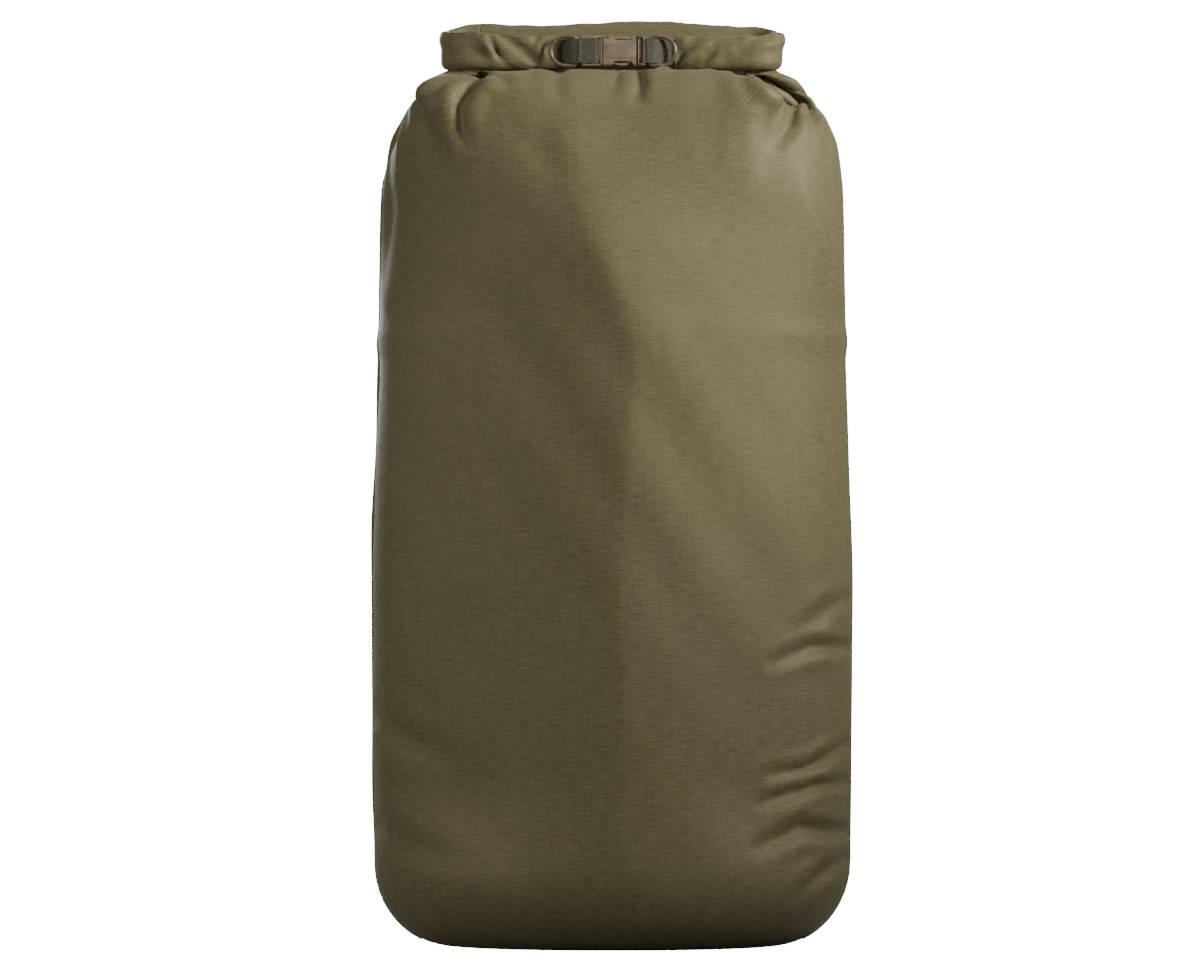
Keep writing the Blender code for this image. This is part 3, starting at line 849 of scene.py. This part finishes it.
# ---- straps ----
STRAP = 1.5 * MM
DASH_ROWS = 14
DASH_PITCH = 2.6 * MM
DASH_RISE = 0.42 * MM
LANES_PER_ROW = 4
LOOP_HALF = 2.9 * MM


def even_path(corners, spacing):
    """A polyline with its corners rounded off, as evenly spaced points."""
    path = np.array(corners)
    for _ in range(3):
        quarter, three = path[:-1] * 0.75 + path[1:] * 0.25, path[:-1] * 0.25 + path[1:] * 0.75
        inner = np.stack([quarter, three], 1).reshape(-1, 2)
        path = np.concatenate([path[:1], inner[1:-1], path[-1:]])
    length = run_length(path[:, 0], path[:, 1])
    places = np.arange(0, length[-1], spacing)
    return np.stack([np.interp(places, length, path[:, axis]) for axis in (0, 1)], 1), places


def strap_path(side, wing_end, bar_x, fold_x):
    """A strap's way seen from above: out of the roll, behind a D-ring's bar, round a buckle bar and back."""
    root, leave = wing_end + side * 14 * MM, wing_end - side * 1 * MM
    layer, half = 0.9 * MM, LOOP_HALF
    turns = [math.pi * step / 12 for step in range(13)]
    loop = [(fold_x - side * half * math.sin(turn), LATCH.y - half * math.cos(turn)) for turn in turns]
    return [
        (root, WING_Y - layer),
        (leave, WING_Y - layer),
        (bar_x + side * 9.5 * MM, LATCH.y + 3.15 * MM),
        (bar_x + side * 3 * MM, LATCH.y - half),
        *loop,
        (bar_x + side * 7.5 * MM, LATCH.y + half),
        (leave, WING_Y + layer),
        (root, WING_Y + layer),
    ]


def make_tab(node, body, side, wing_end, bar_x, fold_x, material):
    """A strap with a row of dash-shaped ribs along each of its threads."""
    path, places = even_path(strap_path(side, wing_end, bar_x, fold_x), DASH_PITCH / 5)
    tangent = unit(np.gradient(path, axis=0))
    normal = np.stack([tangent[:, 1], -tangent[:, 0]], 1)
    lanes = DASH_ROWS * LANES_PER_ROW
    points, across, along = [], [], []
    for place, out, run in zip(path, normal, places):
        for face in (1, -1):
            for step in range(lanes + 1):
                lane = step if face > 0 else lanes - step
                height = (1 - 2 * lane / lanes) * TAB_HALF_WIDTH
                row, part = divmod(lane, LANES_PER_ROW)
                dash = 0.55 + 0.45 * math.cos(2 * math.pi * run / DASH_PITCH + math.pi * row)
                rise = DASH_RISE * dash * math.sin(math.pi * part / LANES_PER_ROW)
                x, y = place + out * face * (STRAP / 2 - 0.2 * MM + rise)
                points.append((x, y, LATCH.z + height))
                across.append(height)
                along.append(run)
    tab = add_mesh(f"{node}_strap", points, capped_tube_faces(len(path), 2 * (lanes + 1)))
    face_outward(tab)
    map_threads(tab, np.array(across), np.array(along))
    finish_mesh(tab, material)
    install(tab, "webbing", body, node)


def add_curve(name, lines, dimensions, cyclic, **settings):
    curve = bpy.data.curves.new(name, "CURVE")
    set_all(curve, dimensions=dimensions, **settings)
    for line in lines:
        spline = curve.splines.new("POLY")
        spline.points.add(len(line) - 1)
        spline.use_cyclic_u = cyclic
        for knot, place in zip(spline.points, line):
            knot.co = (*place, 1)
    return add_object(name, curve)


def curve_mesh(curve):
    """The curve's surface as a mesh; the curve itself goes."""
    mesh = evaluated_mesh(curve)
    bpy.data.objects.remove(curve, do_unlink=True)
    return mesh


def make_bar_tack(node, body, material):
    """The zigzag of thread that holds a strap's two layers together beside a D-ring."""
    low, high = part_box(node)
    pitch = 0.75 * MM
    points = []
    for step in range(int((high.z - low.z) / pitch) + 1):
        x = low.x if step % 2 else high.x
        points.append((x, high.y - 0.1 * MM, low.z + step * pitch))
        points.append((x, high.y + 0.25 * MM, low.z + (step + 0.35) * pitch))
    thread = dict(bevel_depth=0.32 * MM, bevel_resolution=2, use_fill_caps=True)
    tack = add_curve(f"{node}_stitches", [points], "3D", False, **thread)
    tack.data.materials.append(material)
    install(tack, "thread", body, node)


# ---- D-rings ----
RING_WIRE = 1.9 * MM  # radius
LEFT_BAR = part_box("left_d_ring")[1].x - 1.3 * MM  # the middle of each ring's bar, which it swings about
RIGHT_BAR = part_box("right_d_ring")[0].x + 1.3 * MM


def make_ring(node, side, bar, material):
    """A D-ring of thick round wire: a straight bar on the buckle's side and a half circle on the other."""
    low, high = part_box(node)
    half = (high.z - low.z) / 2 - RING_WIRE
    tip = low.x + RING_WIRE if side < 0 else high.x - RING_WIRE
    centre = abs(tip - bar) - half
    outline = [(0, -half), (0, half)]
    for step in range(17):
        turn = math.pi / 2 - math.pi * step / 16
        outline.append((centre + half * math.cos(turn), half * math.sin(turn)))
    path = [(bar + side * point.x, LATCH.y, LATCH.z + point.y) for point in rounded(outline, 2.2 * MM, 5)]
    wire = add_curve(node, [path], "3D", True, bevel_depth=RING_WIRE, bevel_resolution=6)
    ring = add_object(f"{node}_wire", curve_mesh(wire))
    face_outward(ring)
    finish_mesh(ring, material)
    install(ring, "brown_plastic", node, node)


# ---- buckle ----
HOUSING_LOW, HOUSING_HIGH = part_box("buckle_housing")
# The buckle is drawn in mm from the middle of the housing's open end, where its two halves meet.
MOUTH_X = HOUSING_LOW.x
HOUSING_LENGTH = (HOUSING_HIGH.x - MOUTH_X) / MM
BUCKLE_HALF = (HOUSING_HIGH.z - LATCH.z) / MM
BUCKLE_DEPTH = (HOUSING_HIGH.y - LATCH.y) / MM
SLOT_HALF = 12.8  # half the height of the slots for the straps


def rounded(outline, radius, steps=4):
    """The outline with each corner replaced by a short arc."""
    corners = [Vector(point) for point in outline]
    result = []
    for index, corner in enumerate(corners):
        before, after = corners[index - 1] - corner, corners[(index + 1) % len(corners)] - corner
        reach = min(radius, before.length * 0.45, after.length * 0.45)
        start, end = corner + before.normalized() * reach, corner + after.normalized() * reach
        for step in range(steps + 1):
            share = step / steps
            result.append(start * (1 - share) ** 2 + corner * 2 * share * (1 - share) + end * share**2)
    return result


def rounded_box(left, right, bottom, top, corner, steps=4):
    return rounded([(left, bottom), (right, bottom), (right, top), (left, top)], corner, steps)


def plate(name, outlines, half_depth, edge, material, y=0.0):
    """A moulded plate in the XZ plane with rounded edges: the first outline is its rim, others are holes."""
    lines = [[(x, z, 0) for x, z in outline] for outline in outlines]
    solid = dict(extrude=half_depth - edge, bevel_depth=edge, bevel_resolution=3, offset=-edge)
    mesh = curve_mesh(add_curve(name, lines, "2D", True, fill_mode="BOTH", **solid))
    work = bmesh.new()
    work.from_mesh(mesh)
    for vertex in work.verts:
        x, z, depth = vertex.co
        vertex.co = (MOUTH_X + x * MM, LATCH.y + (y - depth) * MM, LATCH.z + z * MM)
    bmesh.ops.remove_doubles(work, verts=work.verts, dist=0.00001)
    bmesh.ops.recalc_face_normals(work, faces=work.faces)
    work.to_mesh(mesh)
    work.free()
    mesh.materials.append(material)
    return add_object(name, mesh)


def join(target, others):
    work = bmesh.new()
    work.from_mesh(target.data)
    for other in others:
        work.from_mesh(other.data)
        bpy.data.objects.remove(other, do_unlink=True)
    work.to_mesh(target.data)
    work.free()
    target.data.shade_smooth()
    target.data.set_sharp_from_angle(angle=math.radians(35))
    return target


def make_housing(plastic):
    """The socket half: front and back plates with room for the arms between them, and a bar for the strap."""
    half, depth, right = BUCKLE_HALF, BUCKLE_DEPTH, HOUSING_LENGTH
    bar = right - 3
    nose = right - 2.2  # only a thin bar goes on past here, so that the ring can swing over it
    slot = 35
    skin = 0.75  # half the thickness of the front and the back plate
    upper = [(0, half), (7.9, half), (9.9, 12.5), (9.9, 10.7), (28.3, 10.7), (28.3, 12.3), (31, half)]
    upper += [(nose - 1.5, half), (nose, half - 1.5)]
    rim = rounded(upper + [(x, -z) for x, z in reversed(upper)], 1)
    cut = rounded_box(slot, bar, -SLOT_HALF, SLOT_HALF, 0.8)
    end = rounded_box(slot - 2.6, nose, -half, half, 1.4)
    lug = rounded_box(bar, right, 1 - half, half - 1, 1)
    panel = rounded_box(2.6, slot - 2.4, -7.6, 7.6, 2.4)
    parts = [
        plate("front", [rim, cut], skin, 0.6, plastic, skin - depth),
        plate("back", [rim, cut], skin, 0.6, plastic, depth - skin),
        plate("lug", [lug], 1.7, 0.6, plastic),
        plate("panel", [panel], 0.55, 0.4, plastic, 0.2 - depth),
    ]
    for side in (-1, 1):
        cheek = rounded_box(0, 7.6, side * 12.2, side * half, 0.8)
        lip = rounded_box(0.1, 1.7, side * 11.9, side * (half - 0.4), 0.5)
        parts.append(plate("cheek", [cheek], depth, 0.8, plastic))
        parts.append(plate("lip", [lip], depth + 0.25, 0.5, plastic))
    housing = join(plate("housing_shell", [end, cut], depth, 0.35, plastic), parts)
    install(housing, "brown_plastic", "closure", "buckle_housing")


def make_strap_frame(plastic):
    """The plug half: a frame with two slots for the strap, a collar, and a tongue that guides it in."""
    half = BUCKLE_HALF
    left, end = (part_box("buckle_frame")[0].x - MOUTH_X) / MM, -0.3
    outer = rounded_box(left, end, -half, half, 1.6)
    slots = [(left + 3, left + 10), (left + 13, left + 17.8)]
    holes = [rounded_box(a, b, -SLOT_HALF, SLOT_HALF, 0.8) for a, b in slots]
    tongue = rounded_box(end - 1, end + 24, -2.5, 2.5, 0.8)
    collar = rounded_box(end - 2.4, end, 1 - half, half - 1, 0.6)
    parts = [
        plate("tongue", [tongue], 1.8, 0.5, plastic),
        plate("collar", [collar], 3.4, 0.8, plastic),
    ]
    ladder = join(plate("strap_frame", [outer, *holes], 2.6, 0.8, plastic), parts)
    install(ladder, "brown_plastic", "left_wing", "buckle_frame")


# A latch arm's outline from its root, along its outer side and back along its inner side.
ARM_OUTER = ((0, 11.4), (9.9, 11.4), (10.4, 13.3), (14.2, 14.2))
ARM_OUTER += ((18.7, 14.5), (23.2, 14), (27.2, 12.4), (29.5, 10.3))
ARM_INNER = ((29, 8.6), (25.7, 10.4), (21.7, 11.7), (17.7, 12.1), (13.7, 11.6), (9.2, 9.3), (0, 9))


def make_arm(name, side, plastic):
    """A latch arm with its bowed pad and the grip ridges across it."""
    outline = [(x, side * z) for x, z in ARM_OUTER + ARM_INNER]
    ridges = []
    for step in range(5):
        x = 14.5 + 2.1 * step
        ridge = rounded_box(x, x + 0.9, side * 13, side * 14.7, 0.25, 2)
        ridges.append(plate("ridge", [ridge], 2.45, 0.25, plastic))
    arm = join(plate(f"{name}_pad", [rounded(outline, 0.6, 3)], 2.3, 0.5, plastic), ridges)
    install(arm, "brown_plastic", name, name)


# ---- materials ----


class Nodes:
    """The nodes of a material or world. An input is either another node's output or a plain value."""

    def __init__(self, owner):
        owner.use_nodes = True
        self.owner = owner
        self.tree = owner.node_tree

    def fill(self, node, inputs):
        for key, value in inputs.items():
            if isinstance(value, bpy.types.NodeSocket):
                self.tree.links.new(value, node.inputs[key])
            else:
                node.inputs[key].default_value = value
        return node

    def add(self, kind, inputs, output, **settings):
        node = self.tree.nodes.new("ShaderNode" + kind)
        set_all(node, **settings)
        return self.fill(node, inputs).outputs[output]

    def threads(self):
        return self.add("UVMap", {}, "UV", uv_map="threads")

    def place(self):
        return self.add("TexCoord", {}, "Object")

    def noise(self, vector, scale=1.0, detail=2.0, roughness=0.5, stretch=(1, 1, 1)):
        vector = self.add("Mapping", {"Vector": vector, "Scale": stretch}, "Vector")
        inputs = {"Vector": vector, "Scale": scale, "Detail": detail, "Roughness": roughness}
        return self.add("TexNoise", inputs, "Fac")

    def ramp(self, value, low, high):
        return self.add("MapRange", {"Value": value, "From Min": low, "From Max": high}, "Result")

    def mix(self, share, first, second):
        return self.add("Mix", {0: share, 6: first, 7: second}, 2, data_type="RGBA")

    def math(self, operation, first, second=0.0):
        return self.add("Math", {0: first, 1: second}, 0, operation=operation)

    def times(self, first, second):
        return self.math("MULTIPLY", first, second)

    def plus(self, first, second):
        return self.math("ADD", first, second)

    def waves(self, vector, axis, length, operation="SINE"):
        """A sine wave of this length along one axis."""
        parts = self.tree.nodes.new("ShaderNodeSeparateXYZ")
        value = self.fill(parts, {"Vector": vector}).outputs[axis]
        return self.math(operation, self.times(value, 2 * math.pi / length))

    def bump(self, height, strength, distance, **under):
        inputs = {"Height": height, "Strength": strength, "Distance": distance, **under}
        return self.add("Bump", inputs, "Normal")

    def finish(self, **inputs):
        """Fills in the Principled shader and returns the material. A _ in an input's name is a space."""
        shader = self.tree.nodes["Principled BSDF"]
        self.fill(shader, {key.replace("_", " "): value for key, value in inputs.items()})
        return self.owner


def new_material(name):
    return Nodes(bpy.data.materials.new(name))


CLOTH_DARK = (0.050, 0.0415, 0.0190, 1)
CLOTH_MID = (0.096, 0.084, 0.0410, 1)
CLOTH_LIGHT = (0.165, 0.146, 0.0790, 1)
THREAD_PITCH = 0.7 * MM


def cloth_material():
    """Coated olive nylon: a fine heathered weave with slubs, a satin sheen and a little dust and wear."""
    nodes = new_material("olive_ripple_cloth")
    threads, place = nodes.threads(), nodes.place()
    slubs = nodes.noise(threads, 1.0, 3.0, 0.6, stretch=(62, 900, 1))
    streaks = nodes.ramp(nodes.noise(threads, stretch=(420, 9, 1)), 0.35, 0.75)
    heather = nodes.ramp(nodes.noise(threads, 1.0, 1.0, stretch=(500, 900, 1)), 0.40, 0.62)
    patches = nodes.ramp(nodes.noise(place, 7.0, 3.0, 0.55), 0.45, 0.75)
    colour = nodes.mix(nodes.ramp(slubs, 0.33, 0.67), CLOTH_DARK, CLOTH_LIGHT)
    colour = nodes.mix(0.45, colour, CLOTH_MID)
    colour = nodes.mix(streaks, colour, nodes.mix(0.22, colour, CLOTH_LIGHT))
    colour = nodes.mix(heather, nodes.mix(0.30, colour, CLOTH_DARK), colour)
    colour = nodes.mix(patches, colour, nodes.mix(0.12, colour, CLOTH_LIGHT))
    warp, weft = (nodes.waves(threads, axis, 2 * THREAD_PITCH) for axis in "XY")
    weave = nodes.plus(nodes.times(nodes.times(warp, weft), 0.5), slubs)
    crumples = nodes.noise(place, 38.0, stretch=(1, 1, 1.6))
    return nodes.finish(
        Base_Color=colour,
        Roughness=nodes.plus(nodes.times(nodes.ramp(slubs, 0.2, 0.8), 0.12), 0.46),
        Sheen_Weight=0.12,
        Sheen_Roughness=0.45,
        Sheen_Tint=(0.80, 0.72, 0.48, 1),
        Specular_IOR_Level=0.35,
        Specular_Tint=(0.85, 0.74, 0.45, 1),
        Normal=nodes.bump(crumples, 0.15, 1.5 * MM, Normal=nodes.bump(weave, 0.35, 0.25 * MM)),
    )


def webbing_material():
    """Grey-green nylon strap: rows of short raised dashes with painted shade between them, and slightly
    fuzzy.
    """
    nodes = new_material("grey_green_webbing")
    threads = nodes.threads()
    rows = nodes.waves(threads, "X", 4 * TAB_HALF_WIDTH / DASH_ROWS)
    dashes = nodes.times(rows, nodes.waves(threads, "Y", DASH_PITCH, "COSINE"))
    fuzz = nodes.noise(threads, 1.0, 2.0, 0.6, stretch=(1400, 1400, 1))
    # The dark colour between the dashes is painted shade, standing in for the shade in the hollows between
    # the ribs.
    painted_gap_shade, tops, lint = (0.020, 0.019, 0.011, 1), (0.120, 0.118, 0.078, 1), (0.03, 0.03, 0.02, 1)
    colour = nodes.mix(nodes.ramp(dashes, -0.3, 0.6), painted_gap_shade, tops)
    colour = nodes.mix(nodes.ramp(fuzz, 0.35, 0.7), nodes.mix(0.25, colour, lint), colour)
    normal = nodes.bump(fuzz, 0.4, 0.15 * MM)
    return nodes.finish(Base_Color=colour, Roughness=0.8, Specular_IOR_Level=0.2, Normal=normal)


def plastic_material(name, base, roughness):
    """Moulded acetal: a fine pebble grain, slight colour drift, and paler edges where it has worn."""
    nodes = new_material(name)
    grain = nodes.noise(nodes.place(), 2600.0)
    drift = nodes.noise(nodes.place(), 90.0, 3.0, 0.6)
    dark, light, worn = ([value * share for value in base] + [1] for share in (0.80, 1.18, 1.9))
    pointed = nodes.ramp(nodes.add("NewGeometry", {}, "Pointiness"), 0.52, 0.62)
    edge = nodes.times(nodes.times(pointed, nodes.ramp(drift, 0.35, 0.6)), 0.2)
    return nodes.finish(
        Base_Color=nodes.mix(edge, nodes.mix(nodes.ramp(drift, 0.3, 0.7), dark, light), worn),
        Roughness=nodes.plus(nodes.times(grain, 0.18), roughness - 0.09),
        Normal=nodes.bump(grain, 0.25, 0.12 * MM),
    )


def thread_material():
    nodes = new_material("olive_thread")
    inputs = {"Vector": nodes.place(), "Scale": 900.0, "Distortion": 2.0}
    twist = nodes.add("TexWave", inputs, "Fac", bands_direction="DIAGONAL")
    colour = nodes.mix(twist, (0.035, 0.034, 0.020, 1), (0.085, 0.083, 0.052, 1))
    return nodes.finish(Base_Color=colour, Roughness=0.6, Normal=nodes.bump(twist, 0.4, 0.1 * MM))


def tape_material():
    nodes = new_material("sealing_tape")
    film = nodes.noise(nodes.place(), 260.0)
    colour = nodes.mix(film, (0.045, 0.042, 0.027, 1), (0.075, 0.070, 0.045, 1))
    return nodes.finish(Base_Color=colour, Roughness=0.35, Normal=nodes.bump(film, 0.2, 0.3 * MM))


# ---- stage, light and camera ----
CAMERA = Vector((-0.012, -4.2, 0.27))
VIEW_WIDTH = 1.2  # how much the picture spans, in the plane through the middle of the sack
VIEW_MIDDLE_Z = 0.4635
SENSOR = 36.0
WHITE = 18.0  # brightness at which the floor and the surroundings show as white
AMBIENT = 0.22
FLOOR_HALF = 9.0


def seen_by_camera(nodes):
    """WHITE for what the camera itself sees, and 0 for the light that goes to other things."""
    return nodes.times(nodes.add("LightPath", {}, "Is Camera Ray"), WHITE)


def make_stage():
    """A wide pale floor. The camera sees it bright, but little of its light comes back up to the sack."""
    nodes = new_material("studio_white")
    seen = nodes.add("LightPath", {}, "Is Camera Ray")
    white = nodes.finish(
        Base_Color=nodes.mix(seen, (0.15, 0.15, 0.15, 1), (0.90, 0.90, 0.90, 1)),
        Roughness=0.9,
        Emission_Color=(1, 1, 1, 1),
        Emission_Strength=seen_by_camera(nodes),
    )
    corners = [(side * FLOOR_HALF, end * FLOOR_HALF, 0) for side, end in ((-1, -1), (1, -1), (1, 1), (-1, 1))]
    floor = add_mesh("studio_floor", corners, [(0, 1, 2, 3)])
    floor.data.materials.append(white)


def add_light(name, place, target, size, power, spread=180):
    lamp = bpy.data.lights.new(name, "AREA")
    set_all(lamp, spread=math.radians(spread), shape="RECTANGLE", size=size[0], size_y=size[1], energy=power)
    obj = add_object(name, lamp)
    obj.location = place
    obj.rotation_euler = (Vector(target) - Vector(place)).to_track_quat("-Z", "Y").to_euler()


def make_lights():
    world = bpy.data.worlds.new("studio")
    nodes = Nodes(world)
    brightness = nodes.plus(seen_by_camera(nodes), AMBIENT)
    nodes.fill(nodes.tree.nodes["Background"], {"Color": (1, 1, 1, 1), "Strength": brightness})
    bpy.context.scene.world = world
    add_light("key", (2.2, -1.15, 1.7), (0.05, 0, 0.85), (0.6, 0.8), 10, 45)
    add_light("top", (0.6, -0.6, 2.6), (0, 0, 0.8), (1.2, 1.0), 8)
    add_light("back", (-1.2, 3.4, 1.8), (0, 0, 0.5), (2.0, 2.0), 90)
    add_light("fill", (-2.8, -2.2, 1.3), (0, 0, 0.60), (1.2, 2.0), 60)


def make_camera():
    data = bpy.data.cameras.new("camera")
    set_all(data, sensor_width=SENSOR, lens=SENSOR * -CAMERA.y / VIEW_WIDTH, clip_end=50)
    camera = add_object("camera", data)
    camera.location = CAMERA
    camera.rotation_euler = (math.pi / 2 + math.atan2(VIEW_MIDDLE_Z - CAMERA.z, -CAMERA.y), 0, 0)
    bpy.context.scene.camera = camera


def main():
    cloth, webbing, thread, tape = cloth_material(), webbing_material(), thread_material(), tape_material()
    plastic = plastic_material("coyote_plastic", (0.170, 0.122, 0.078), 0.42)
    ring_plastic = plastic_material("coyote_ring_plastic", (0.095, 0.064, 0.038), 0.26)
    grid = make_body(cloth)
    make_seams(grid, cloth, tape)
    make_base_tape(grid, tape)
    make_rolls(cloth)
    make_tab("left_tab", "left_wing", -1, LEFT_END, LEFT_BAR, -17 * MM, webbing)
    make_tab("right_tab", "closure", 1, RIGHT_END, RIGHT_BAR, 31.9 * MM, webbing)
    make_bar_tack("left_bar_tack", "left_wing", thread)
    make_bar_tack("right_bar_tack", "closure", thread)
    make_housing(plastic)
    make_strap_frame(plastic)
    make_arm("latch_arm_upper", 1, plastic)
    make_arm("latch_arm_lower", -1, plastic)
    make_ring("left_d_ring", -1, LEFT_BAR, ring_plastic)
    make_ring("right_d_ring", 1, RIGHT_BAR, ring_plastic)
    make_left_rim(webbing)
    dress_right_rim(webbing)
    make_stage()
    make_lights()
    make_camera()
    bpy.context.scene.frame_set(1)


main()
